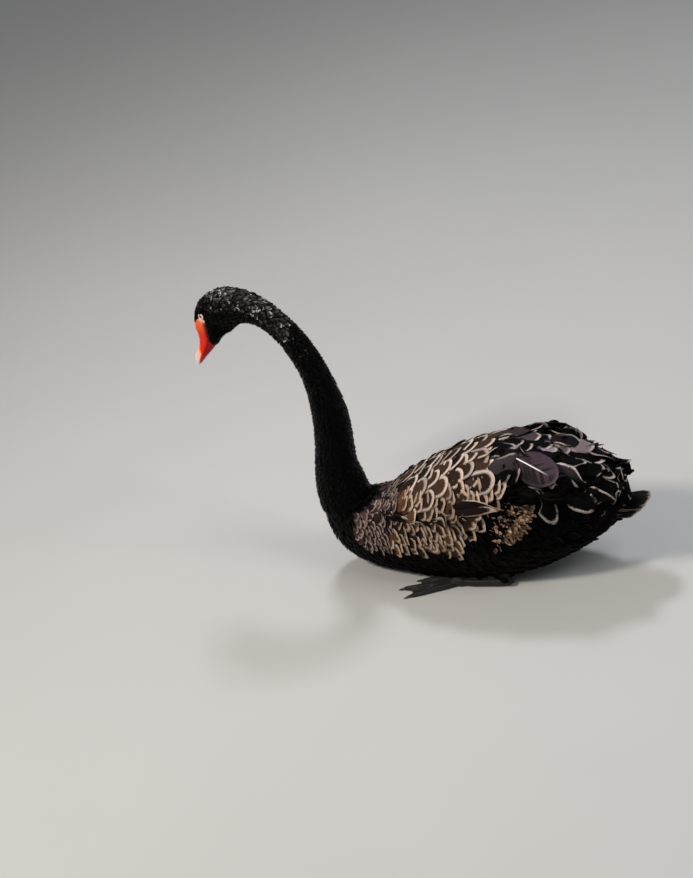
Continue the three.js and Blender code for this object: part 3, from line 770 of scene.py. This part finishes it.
# Vanes laid over the skin from their roots. Each has a lot of two: how light its middle is, and how strong its
# pale rim; on the crown and nape these are painted sheen and painted glints
def layVanes(name, material, shape, roots, normals, ways, lots, scale=1.0, cling=1.0):
    count = len(roots)
    v, across = planOf(shape)
    scale = np.broadcast_to(scale, count)
    yaw = rng.normal(0, shape["yaw"], count)[:, None]
    sides = np.cross(ways, normals)
    ways = unit(ways * np.cos(yaw) + sides * np.sin(yaw))
    length = (shape["length"] * scale)[:, None]
    halfSize = (shape["width"] * scale / 2)[:, None, None]
    curls = rng.normal(shape["curl"], lay["stray"] * shape["curl"] + 0.03, count)
    flat = np.maximum(smoothStep(0.7, 0.95, normals[:, 2]), smoothStep(215, 275, roots[:, 0]))[:, None]
    curls = np.clip(curls, 0.02, 1.9)[:, None] * (1 - lay["flatCurl"] * flat)
    base = np.broadcast_to(shape["base"], count)
    base = (base + rng.normal(0, lay["stray"] * base, count))[:, None]
    bendFrom = lay["bendFrom"]
    turn = curls * np.clip((v[None, :] - bendFrom) / (1 - bendFrom), 0, None)
    radius = (1 - bendFrom) * length / curls
    reach = np.minimum(v[None, :], bendFrom) * length + radius * np.sin(turn)
    rise = base + shape["pitch"] * reach * (1 - lay["flatPitch"] * flat) + radius * (1 - np.cos(turn))
    line = roots[:, None] + ways[:, None] * reach[..., None]
    ground, up = (found.reshape(line.shape) for found in onSkin(line.reshape(-1, 3)))
    # each vane bends evenly: a parabola is fitted to the ground under it, and a straight change to its tilt
    bends = np.stack([v, v ** 2], 1)
    ground = roots[:, None] + bends @ (np.linalg.pinv(bends) @ (ground - roots[:, None]))
    tilts = np.stack([np.ones_like(v), v], 1)
    up = tilts @ (np.linalg.pinv(tilts) @ up)
    ground = cling * ground + (1 - cling) * line
    up = unit(cling * up + (1 - cling) * normals[:, None])
    ahead = unit(np.gradient(ground, axis=1))
    aside = unit(np.cross(ahead, up))
    up = np.cross(aside, ahead)
    spin = rng.normal(0, shape.get("twist", 0), count)[:, None] * v[None, :]
    spin = spin - shape.get("lean", 0) * aside[..., 2]
    face = up * np.cos(turn)[..., None] - ahead * np.sin(turn)[..., None]
    aside, face = (aside * np.cos(spin)[..., None] + face * np.sin(spin)[..., None],
                   face * np.cos(spin)[..., None] - aside * np.sin(spin)[..., None])
    phase = rng.uniform(0, 6.3, (count, 1, 2))[:, :, (across[0] > 0).astype(int)]
    waves = np.sin(fullTurn * (v[None, :] * length)[..., None] / shape.get("wave", 22) + phase)
    sag = -shape["camber"] * across[None] ** 2 + shape.get("ripple", 0) * np.abs(across[None]) ** 1.5 * waves
    upper = (ground + up * rise[..., None])[:, :, None] \
        + aside[:, :, None] * (across[None] * halfSize)[..., None] + face[:, :, None] * sag[..., None]
    lower = (upper - face[:, :, None] * shape["thick"])[:, 1:-1, 1:-1]
    points = np.concatenate([upper.reshape(count, -1, 3), lower.reshape(count, -1, 3)], 1)
    points[..., 2] = np.maximum(points[..., 2], lay["floor"])
    starts = points.shape[1] * np.arange(count)[:, None, None]
    faces = lensFaces(shape["rows"], shape["columns"])[None] + starts
    mesh = meshFrom(points.reshape(-1, 3), faces.reshape(-1, 4))
    plan = np.stack([0.5 + 0.5 * across, np.broadcast_to(v[:, None], across.shape)], -1)
    plan = np.concatenate([plan.reshape(-1, 2), plan[1:-1, 1:-1].reshape(-1, 2)])
    plans = np.broadcast_to(plan, (count, *plan.shape))
    home = unwrapOf(roots, lieAt(roots, normals)[1])
    addMap(mesh, "OFBake", (home[:, None] + (plans - 0.5) * lay["patch"]).reshape(-1, 2))
    addMap(mesh, "vane", plans.reshape(-1, 2))
    addMap(mesh, "lot", np.broadcast_to(lots[:, None], plans.shape).reshape(-1, 2))
    piece = showPiece(name, mesh, material)
    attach(piece, "root")
    print(name, count, "feathers,", 4 * shape["rows"] * shape["columns"] * count, "triangles")
    return piece


# Feather keratin: a matt to satin vane, fine slanting barbs, a shaft, and often a pale worn fringe, which on
# the crown and nape is a painted glint instead
def makeFeather(title, look, shape):
    material, add, place = newMaterial(title)
    across, along = add("SeparateXYZ", [add("UVMap", [], uv_map="vane")]).node.outputs[:2]
    light, fringed = add("SeparateXYZ", [add("UVMap", [], uv_map="lot")]).node.outputs[:2]
    # 1 along the vane's rim, less inside it
    side = add("Math", [across, 2.0, -1.0], operation="MULTIPLY_ADD")
    side = add("Math", [side], operation="ABSOLUTE")
    towards = add("MapRange", [along, shape["tip"], 1.0])
    square = shape.get("square", 2.0)
    outline = [add("Math", [part, square], operation="POWER") for part in (side, towards)]
    outline = add("Math", outline, operation="ADD")
    outline = add("Math", [outline, 1 / square], operation="POWER")
    ragged = add("TexNoise", {"Vector": place, "Scale": look.get("raggedScale", 420.0), "Detail": 2.0})
    stray = add("Math", [ragged, 0.5], operation="SUBTRACT")
    outline = add("Math", [stray, look.get("ragged", 0.12), outline], operation="MULTIPLY_ADD")
    inner, soft = 1 - look["fringeWidth"], 0.5 * look["fringeSoft"]
    fringeAndGlint = add("MapRange", [outline, inner - soft, inner + soft], **smooth)
    fringeAndGlint = add("Math", [fringeAndGlint, fringed], operation="MULTIPLY", use_clamp=True)
    if "fringeFrom" in look:        # only the tip is fringed, not the sides
        atTip = add("MapRange", [along, look["fringeFrom"], look["fringeFrom"] + 0.2], **smooth)
        fringeAndGlint = add("Math", [fringeAndGlint, atTip], operation="MULTIPLY")
    if "patchy" in look:            # the fringe comes and goes along the edge
        worn = add("TexNoise", {"Vector": place, "Scale": look["patchy"], "Detail": 1.0})
        worn = add("MapRange", [worn, 0.4, 0.54], **smooth)
        fringeAndGlint = add("Math", [fringeAndGlint, worn], operation="MULTIPLY")
    # barbs run out and ahead from the shaft
    slant = add("Math", [side, -0.4, along], operation="MULTIPLY_ADD")
    slant = add("Math", [slant, look["barbs"]], operation="MULTIPLY")
    barbs = add("Math", [slant, fullTurn], operation="MULTIPLY")
    barbs = add("Math", [barbs], operation="SINE")
    tone = add("Mix", [light, linear(look["centre"]), linear(look["centreLight"])], **colours)
    if "streaks" in look:           # barbs that have come apart show dark, more so on one side of the shaft
        run = add("CombineXYZ", [slant, add("Math", [side, 2.0], operation="MULTIPLY"), light])
        split = add("TexNoise", {"Vector": run, "Scale": 0.4, "Detail": 3.0})
        split = add("Math", [across, -0.32, split], operation="MULTIPLY_ADD")
        whole = add("MapRange", [split, 0.22, 0.42], **smooth)
        tone = add("Mix", [whole, linear(look["streaks"]), tone], **colours)
    shaft = add("MapRange", [side, look.get("shaftWidth", 0.07), 0.02, 0.0, look.get("shaft", 0.35)], **smooth)
    fading = add("MapRange", [along, 0.85, 0.4], **smooth)
    shaft = add("Math", [shaft, fading], operation="MULTIPLY")
    tone = add("Mix", [shaft, tone, linear(look["shaftColour"])], **colours)
    pale = add("Mix", [ragged, linear(look["fringeAndGlint"]), linear(look["fringeDark"])], **colours)
    colour = add("Mix", [fringeAndGlint, tone, pale], **colours)
    shade = add("Math", [barbs, look.get("barbShade", 0.09), 0.93], operation="MULTIPLY_ADD")
    colour = add("VectorMath", [colour, shade], operation="SCALE")
    rough = add("MapRange", [fringeAndGlint, 0.0, 1.0, look["roughness"], min(look["roughness"] + 0.25, 1)])
    # barbs stand about 1 mm apart here, wider than the real 0.4 mm, so that they show
    bump = add("Bump", {"Height": barbs, "Strength": look.get("bump", 0.3), "Distance": 0.0004})
    add("OutputMaterial", [add("BsdfPrincipled", {"Base Color": colour, "Roughness": rough, "Normal": bump,
                                                  "IOR": 1.54, "Specular IOR Level": look["gloss"]})])
    return material


# Looks of the feathers. Their middles run from "centre" to "centreLight", where a high "lightRare" makes light
# ones rare and "lightNear"
# keeps them round a place; on the crown the light middles are painted sheen. Their rims run from
# "fringeAndGlint" to "fringeDark":
# worn pale fringes, and on the crown and nape painted glints. "fringed" is the share that has such a rim, and
# its strength; "ragged" how far its inner edge strays, over spots of "raggedScale" per metre; "patchy" the same
# for the gaps in it. "barbs" is the number of them along a vane.
blackLook = {"centre": "#010101", "centreLight": "#040404", "fringeAndGlint": "#2c2827", "fringeDark": "#0c0b0b",
             "fringeWidth": 0.3, "fringeSoft": 0.3, "shaftColour": "#08080a", "barbs": 7.0,
             "roughness": 0.3, "gloss": 0.1}
brownLook = {"centre": "#150d08", "centreLight": "#3f2d22", "fringeAndGlint": "#f4e4d6", "fringeDark": "#a48a74",
             "fringeWidth": 0.28, "fringeSoft": 0.2, "shaftColour": "#1a100b", "barbs": 30.0,
             "barbShade": 0.16, "ragged": 0.3, "roughness": 0.7, "gloss": 0.06}
looks = {
    "face": {**blackLook, "title": "velvet black face feathers", "fringed": (0.1, 0.3)},
    # crown: the white rims are painted glints and the grey-brown middles painted sheen
    "crown": {**blackLook, "title": "black crown feathers with painted glints and sheen", "fringed": (0.13, 1), "centreLight": "#6e645f",
              "lightRare": 3.5, "fringeAndGlint": "#ffffff", "fringeDark": "#33302e", "fringeWidth": 0.6,
              "fringeSoft": 0.4, "ragged": 0.7, "raggedScale": 300.0, "roughness": 0.4, "barbs": 5.0,
              "bump": 0.5},
    "throat": {**blackLook, "title": "soft black throat feathers", "fringed": (0, 0), "gloss": 0.04},
    # neck: the pale rims are painted glints
    "neck": {**blackLook, "title": "glossy black neck feathers with painted glints", "fringed": (0.08, 0.5), "fringeAndGlint": "#7d756f",
             "fringeDark": "#26221f", "ragged": 0.5, "gloss": 0.06},
    "breast": {**blackLook, "title": "black breast feathers", "fringed": (0.1, 0.3), "barbs": 12.0,
               "roughness": 0.5, "gloss": 0.04},
    "shoulder": {**brownLook, "title": "fringed shoulder feathers", "fringed": (0.9, 0.9), "centre": "#181011",
                 "centreLight": "#52403f", "fringeAndGlint": "#d9c0b0", "fringeDark": "#6c5650", "fringeWidth": 0.36,
                 "fringeSoft": 0.3, "fringeFrom": 0.5, "barbs": 14.0, "ragged": 0.6, "raggedScale": 200.0},
    "flank": {**brownLook, "title": "wide fringed flank feathers", "fringed": (1, 1), "centre": "#1e130b",
              "centreLight": "#5e432d", "fringeAndGlint": "#f2dac4", "fringeDark": "#8b6c56", "fringeWidth": 0.34,
              "fringeSoft": 0.26, "fringeFrom": 0.5, "barbs": 16.0, "barbShade": 0.3, "ragged": 0.6,
              "raggedScale": 170.0},
    "thigh": {**brownLook, "title": "loose brown thigh feathers", "fringed": (0.6, 0.8), "centre": "#33231a",
              "centreLight": "#c79c78", "lightRare": 1.7, "fringeAndGlint": "#f6d8ba", "fringeDark": "#8a6a52",
              "fringeWidth": 0.4, "fringeSoft": 0.6, "barbs": 12.0, "ragged": 0.6},
    # near-black with faint rims: black plumage, darkened further as painted shade of the recess under the wing
    "shadow": {**brownLook, "title": "black under wing feathers in painted shade", "fringed": (0.3, 0.8), "centre": "#010101",
               "centreLight": "#040303", "fringeAndGlint": "#2b2322", "fringeDark": "#0d0a0a", "fringeWidth": 0.2,
               "barbs": 18.0, "gloss": 0.03, "roughness": 0.75},
    "belly": {**brownLook, "title": "soft dark belly feathers", "fringed": (0.8, 0.6), "centre": "#030202",
              "centreLight": "#080606", "fringeAndGlint": "#302825", "fringeDark": "#151110", "fringeWidth": 0.25,
              "fringeSoft": 0.35, "barbs": 14.0, "gloss": 0.04, "roughness": 0.75},
    "mantle": {**brownLook, "title": "pale fringed back feathers", "fringed": (1, 1.1)},
    "rump": {**brownLook, "title": "black rump feathers", "fringed": (0.25, 0.7), "centre": "#030203",
             "centreLight": "#080607", "fringeAndGlint": "#a89690", "fringeDark": "#463a37", "fringeWidth": 0.16,
             "fringeSoft": 0.1, "barbs": 24.0, "patchy": 40.0},
    # the lilac-grey middles near the top front of the folded wing are partly paler feathers and partly painted
    # sheen on the upper wing
    "ruffle": {**brownLook, "title": "curled black wing feathers", "fringed": (0.85, 1), "centre": "#010001",
               "centreLight": "#8d7d82", "lightRare": 4.4, "lightNear": ((160, 260), 95), "fringeAndGlint": "#f4e6dd",
               "fringeDark": "#8a766d", "fringeWidth": 0.2, "fringeSoft": 0.12, "roughness": 0.6, "barbs": 40.0,
               "barbShade": 0.2, "gloss": 0.04, "patchy": 38.0},
}


# On the crown and nape the pale tips are painted glints and the lighter middles painted sheen, put on the upper
# feathers that face the light; the cheeks and the throat are plain black
def glintAndSheenShare(tract, roots, normals):
    if tract not in ("crown", "neck"):
        return np.ones(len(roots))
    return smoothStep(-0.1, 0.6, normals[:, 2] + 0.3 * normals[:, 0]) * smoothStep(420, 525, roots[:, 2])


mostTriangles = 190000          # a tract with more than this is laid as several pieces


def layCoat():
    for tract, shape in tracts.items():
        look = looks[tract]
        roots, normals, ways = rootsOf(tract)
        count = len(roots)
        glintAndSheen = glintAndSheenShare(tract, roots, normals)
        share, strength = look["fringed"]
        # painted glints and sheen: on the crown and nape only upward-facing feathers get pale rims and lighter
        # middles
        fringed = (rng.random(count) < share * glintAndSheen) * strength * rng.uniform(0.5, 1.05, count)
        light = rng.random(count) ** look.get("lightRare", 1.5) * glintAndSheen
        if "lightNear" in look:
            (x, z), reach = look["lightNear"]
            light *= smoothStep(reach, 0.4 * reach, np.hypot(roots[:, 0] - x, 2 * (roots[:, 2] - z)))
        lots = np.stack([light, fringed], 1)
        scale = rng.normal(1, 0.08, count) * np.interp(roots[:, 0], *zip(*shape.get("smaller", ((0, 1),))))
        material = makeFeather(look["title"], look, shape)
        parts = 1 + int(count * 4 * shape["rows"] * shape["columns"] // mostTriangles)
        for part in range(parts):
            mine = [values[part::parts] for values in (roots, normals, ways, lots, scale)]
            name = f"coat_{tract}" + (f"_{part + 1}" if parts > 1 else "")
            piece = layVanes(name, material, shape, *mine)


layCoat()


# Single feathers that stand out: a broad one whose grey-purple is painted sheen and whose white shaft is a
# painted highlight, and long pointed fringed ones.
# "ends" are the root and the tip of each
singles = {
    "grey": {
        # the near one lies over its neighbours, the far one among them
        "shape": {"length": 82, "width": 58, "rows": 14, "columns": 10, "base": (13, 4), "pitch": 0.05,
                  "camber": 4, "yaw": 0, "tip": 0.5, "thick": 0.6, "curl": 0.05, "ripple": 1.6, "wave": 30},
        # grey-purple vane: painted sheen; white shaft: a painted highlight
        "look": {**brownLook, "centre": "#37272f", "centreLight": "#46353e", "fringeAndGlint": "#6e5c66",
                 "fringeDark": "#2a2026", "fringeWidth": 0.12, "shaftColour": "#f2eef0", "shaft": 1.0,
                 "shaftWidth": 0.05, "roughness": 0.5, "barbs": 44.0, "barbShade": 0.2, "gloss": 0.1,
                 "streaks": "#0c0709"},
        "ends": [((148, -50, 253), (209, -69, 228)), ((146, 62, 246), (206, 80, 218))],
    },
    "pointed": {
        "shape": {"length": 92, "width": 19, "rows": 16, "columns": 6, "base": 8, "pitch": 0.03, "camber": 2,
                  "yaw": 0.02, "tip": 0.35, "thick": 0.6, "curl": 0.1, "ripple": 0.5},
        "look": {**brownLook, "centre": "#0c0706", "centreLight": "#1c120e", "fringeAndGlint": "#d8c2b0",
                 "fringeWidth": 0.2, "fringeSoft": 0.14, "barbs": 40.0},
        "ends": [((36, -104, 193), (133, -101, 207)), ((36, 104, 193), (133, 101, 207)),
                 ((28, -104, 184), (120, -101, 191)), ((28, 104, 184), (120, 101, 191))],
    },
}


def laySingles():
    for name, group in singles.items():
        ends = np.array(group["ends"], float)
        roots, normals = onSkin(ends[:, 0])
        ways = ends[:, 1] - ends[:, 0]
        ways = unit(ways - (ways * normals).sum(1)[:, None] * normals)
        lots = np.stack([rng.random(len(roots)), np.ones(len(roots))], 1)
        material = makeFeather(name + " covert feathers", group["look"], group["shape"])
        piece = layVanes("coat_" + name, material, group["shape"], roots, normals, ways, lots)


laySingles()


# Tail: a short fan of black feathers with thin pale edges
tail = {
    "feathers": 16,
    "root": np.array([258.0, 0, 136]),
    "fan": 9,                       # degrees that the outer ones turn out, roll and rise
    "roll": 16,
    "rise": 3,
    "spread": 22,                   # how far the outer roots are from the middle, and how much lower
    "droop": 6,
    "pile": 2.2,                    # how much higher the middle ones lie on the others
    "shape": {"length": 90, "width": 23, "rows": 14, "columns": 6, "base": 0.4, "pitch": 0.0, "camber": 1.8,
              "yaw": 0.02, "tip": 0.76, "thick": 0.7, "curl": 0.05},
    "look": {**brownLook, "centre": "#020102", "centreLight": "#120d0d", "fringeAndGlint": "#cdbbae",
             "fringeDark": "#54463f", "fringeWidth": 0.15, "fringeSoft": 0.16, "roughness": 0.6,
             "barbs": 40.0, "gloss": 0.04, "shaft": 0.8},
}


def makeTail():
    share = np.linspace(-1, 1, tail["feathers"])
    share = share[np.argsort(-np.abs(share))]       # from the outer ones in
    heights = -tail["droop"] * share ** 2 + tail["pile"] * (1 - np.abs(share))
    roots = tail["root"] + np.stack([np.zeros_like(share), tail["spread"] * share, heights], 1)
    fan, tilt = np.radians(tail["fan"] * share), np.radians(tail["roll"] * share)
    rise = math.radians(tail["rise"])
    ways = np.stack([np.cos(fan) * math.cos(rise), np.sin(fan) * math.cos(rise),
                     np.full_like(fan, math.sin(rise))], 1)
    normals = np.stack([np.full_like(fan, -math.sin(rise)), np.sin(tilt), np.cos(tilt)], 1)
    normals = unit(normals - (normals * ways).sum(1)[:, None] * ways)
    lots = np.stack([rng.random(len(share)), np.full(len(share), 0.7)], 1)
    material = makeFeather("black tail feathers", tail["look"], tail["shape"])
    scale = 1 - 0.2 * share ** 2
    piece = layVanes("coat_tail", material, tail["shape"], roots, normals, ways, lots, scale, cling=0.0)
    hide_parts("tail")


makeTail()


# Red of the face and the bill, as one run of colour over both: pale above, orange on the lores and along the
# ridge, red on the sides, deep red under the cutting edge. The lighter orange along the ridge is partly painted
# light from above, and the deep red under the cutting edge partly painted shade. Places are shares of the
# bill's length and depth
reds = {
    "start": "#f3a273",
    # where each begins and where it is full
    "along": [(-0.62, -0.38, "#f26a36"), (-0.42, 0.08, "#e62409")],
    # by height on the bill: lighter orange on top is partly painted light, deep red underneath partly painted
    # shade
    "up": [(0.8, 1.1, "#ef6230"), (0.47, 0.28, "#940404")],
}
# How the thin skin of the face and the horn of the bill take the light
waxy = {"Specular IOR Level": 0.14, "Subsurface Weight": 0.06, "Subsurface Scale": 0.002}


def redOf(add):
    along, up = add("SeparateXYZ", [add("UVMap", [], uv_map="billPlace")]).node.outputs[:2]
    tones = [(along, *tone) for tone in reds["along"]] + [(up, *tone) for tone in reds["up"]]
    return layTones(add, linear(reds["start"]), tones), along, up


def billPlaceOf(points):
    along, up, _ = onBill(points)
    return np.stack([along / bill["length"], 0.5 + up / bill["depth"]], 1)


# Skin finish: black under the coat, red and smooth on the face, pale on the lids, scaly on the feet
def makeSkinMaterials():
    # Feathered skin: dark down shows between vanes, no gloss
    down = makeMottled("dark down and skin", 300.0, 4.0, ("#030303", "#0b0908"),
                       {"Roughness": 0.9, "Specular IOR Level": 0.1}, {"Strength": 0.5, "Distance": 0.0006})
    # Lid rim: pale rose, moist
    lid = makeMottled("pale lid rim", 900.0, 2.0, ("#fbe6df", "#e6b5a8"),
                      {"Roughness": 0.3, "Subsurface Weight": 0.1, "Subsurface Scale": 0.001})
    # Bare face: thin waxy skin, orange ahead, red behind, pale under the eye, with fine wrinkles; its rear edge
    # against the cheek feathers is darkened to deep red as painted shade
    bare, add, place = newMaterial("waxy red face skin")
    pale, paintedShade = add("SeparateXYZ", [add("UVMap", [], uv_map="faceTone")]).node.outputs[:2]
    # painted shade: deep red where the bare skin meets the cheek feathers
    colour = add("Mix", [paintedShade, redOf(add)[0], linear("#5c0404")], **colours)
    colour = add("Mix", [pale, colour, linear("#f3c8b4")], **colours)
    blotch = add("TexNoise", {"Vector": place, "Scale": 130.0, "Detail": 3.0})
    uneven = add("MapRange", [blotch, 0.0, 1.0, 0.8, 1.15])
    colour = add("VectorMath", [colour, uneven], operation="SCALE")
    wrinkle = add("TexVoronoi", {"Vector": place, "Scale": 700.0})
    bump = add("Bump", {"Height": wrinkle, "Strength": 0.35, "Distance": 0.0003})
    surface = {"Base Color": colour, "Normal": bump, "Roughness": 0.48, **waxy}
    add("OutputMaterial", [add("BsdfPrincipled", surface)])
    # Legs and webs: leathery grey-black skin in small scales, about 2 mm across
    scaly, add, place = newMaterial("scaly leg skin")
    edge = add("TexVoronoi", {"Vector": place, "Scale": 480.0}, feature="DISTANCE_TO_EDGE")
    plate = add("MapRange", [edge, 0.0, 0.12])
    colour = add("Mix", [plate, linear("#080707"), linear("#262120")], **colours)
    bump = add("Bump", {"Height": plate, "Strength": 0.7, "Distance": 0.0006})
    add("OutputMaterial", [add("BsdfPrincipled", {"Base Color": colour, "Normal": bump, "Roughness": 0.5,
                                                  "Specular IOR Level": 0.3})])
    return [down, bare, lid, scaly]


def makeSkin():
    shape = bmesh.new()
    shape.from_mesh(skinMesh)
    own = len(skinMesh.polygons)
    for side in (-1, 1):
        shape.from_mesh(meshFrom(*lidRing(side)))
    mesh = meshOf(shape)
    points = cornersOf(mesh)
    nearEye = np.minimum(*(np.linalg.norm(points - eye["centre"] * (1, side, 1), axis=1) for side in (-1, 1)))
    pale = smoothStep(17, 8, nearEye)
    # painted shade: the rear 9 mm of bare skin before the cheek feathers is darkened
    paintedShade = smoothStep(-9, -2, points[:, 0] - cheekLine(points[:, 2])) * smoothStep(530, 518, points[:, 2])
    addMap(mesh, "faceTone", np.stack([pale, paintedShade], 1))
    addMap(mesh, "billPlace", billPlaceOf(points))
    centres = readAll(mesh.polygons, "center", 3) / mm
    slots = np.zeros(len(centres), np.int32)
    slots[bareFace(centres) > 0.5] = 1
    slots[np.isin(kindsAt(centres), ["leg", "foot", "claw"])] = 3
    slots[own:] = 2
    mesh.polygons.foreach_set("material_index", slots)
    piece = showPiece("skin", mesh, *makeSkinMaterials())
    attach(piece, "root")
    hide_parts(*(name for name in fleshNodes if name != "tail"))


makeSkin()
print("skin made")


# Bill: both halves made fine from their solids, with nostrils, a nail and a pale band near the tip
nostril = {"along": 30, "up": 5.5, "length": 5.0, "height": 1.5, "depth": 1.3}
nail = {"along": 69, "radius": 6.5, "rise": 0.45, "edge": 1.2, "groove": 0.25, "grooveWidth": 0.7}


def makeBillMaterial():
    # Keratin sheath: waxy and smooth, orange-red on the ridge, deep red below, pale band and nail; the orange
    # ridge and deep red below are partly painted light and painted shade, and the pale band runs back along the
    # ridge as a painted highlight
    material, add, place = newMaterial("red keratin bill")
    red, along, up = redOf(add)
    mottle = add("TexNoise", {"Vector": place, "Scale": 160.0, "Detail": 3.0})
    # the band starts nearer the face on the ridge than on the sides: near the tip it is the bill's own pale
    # bar, and further back on the ridge it is a painted highlight
    slope = add("Math", [up, 0.5, along], operation="MULTIPLY_ADD")
    slope = add("Math", [mottle, 0.08, slope], operation="MULTIPLY_ADD")
    paleBarAndHighlight = add("MapRange", [slope, 0.76, 0.9], **smooth)
    upper = add("MapRange", [up, 0.42, 0.52], **smooth)
    paleBarAndHighlight = add("Math", [paleBarAndHighlight, upper], operation="MULTIPLY")
    whitening = add("MapRange", [along, 0.5, 0.85])
    pale = add("Mix", [whitening, linear("#f7ab8c"), linear("#f4dcd8")], **colours)
    colour = add("Mix", [paleBarAndHighlight, red, pale], **colours)
    grain = add("TexNoise", {"Vector": place, "Scale": 900.0, "Detail": 3.0})
    bump = add("Bump", {"Height": grain, "Strength": 0.18, "Distance": 0.0003})
    surface = {"Base Color": colour, "Normal": bump, "Roughness": 0.4, **waxy}
    add("OutputMaterial", [add("BsdfPrincipled", surface)])
    return material


def makeBill():
    material = makeBillMaterial()
    for node in ("bill_upper", "bill_lower"):
        shape = bmesh.new()
        shape.from_mesh(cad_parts[node].data)
        mesh = remeshed(shape, bill["voxel"])
        points = smoothed(cornersOf(mesh), neighboursOf(mesh), bill["softRounds"])
        setCorners(mesh, points)
        along, up, _ = onBill(points)
        # the horn thins out under the face and under the feathered chin
        push = -0.5 * smoothStep(1.5, 0, along) - 2.6 * (1 - bareFace(points)) * smoothStep(30, 24, along)
        if node == "bill_upper":
            push -= nostril["depth"] * np.exp(-((along - nostril["along"]) / nostril["length"]) ** 2
                                              - ((up - nostril["up"]) / nostril["height"]) ** 2)
            reach = np.hypot(along - nail["along"], 1.3 * points[:, 1])
            push += nail["rise"] * smoothStep(nail["radius"], nail["radius"] - nail["edge"], reach) * (up > 0)
            rim = np.exp(-((reach - nail["radius"]) / nail["grooveWidth"]) ** 2)
            push -= nail["groove"] * rim * (up > 0)
        setCorners(mesh, points + normalsOf(mesh) * push[:, None])
        addMap(mesh, "billPlace", billPlaceOf(points))
        piece = showPiece(node + "_sheath", mesh, material)
        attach(piece, "root")
        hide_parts(node)


makeBill()


# Claws keep their solids, smoothed. Dark horn: hard, with a low shine and a fine uneven grain
def makeClaws():
    material = makeMottled("dark claw horn", 500.0, 3.0, ("#0d0c0c", "#37302d"),
                           {"Roughness": 0.35, "IOR": 1.54})
    for name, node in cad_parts.items():
        if name.startswith("claw"):
            node.data.materials.clear()
            node.data.materials.append(material)
            node.data.shade_smooth()
            node.modifiers.new("joined", "WELD").merge_threshold = 0.01 * mm
            node.modifiers.new("round", "SUBSURF").render_levels = 2


makeClaws()
print("bill and claws made")
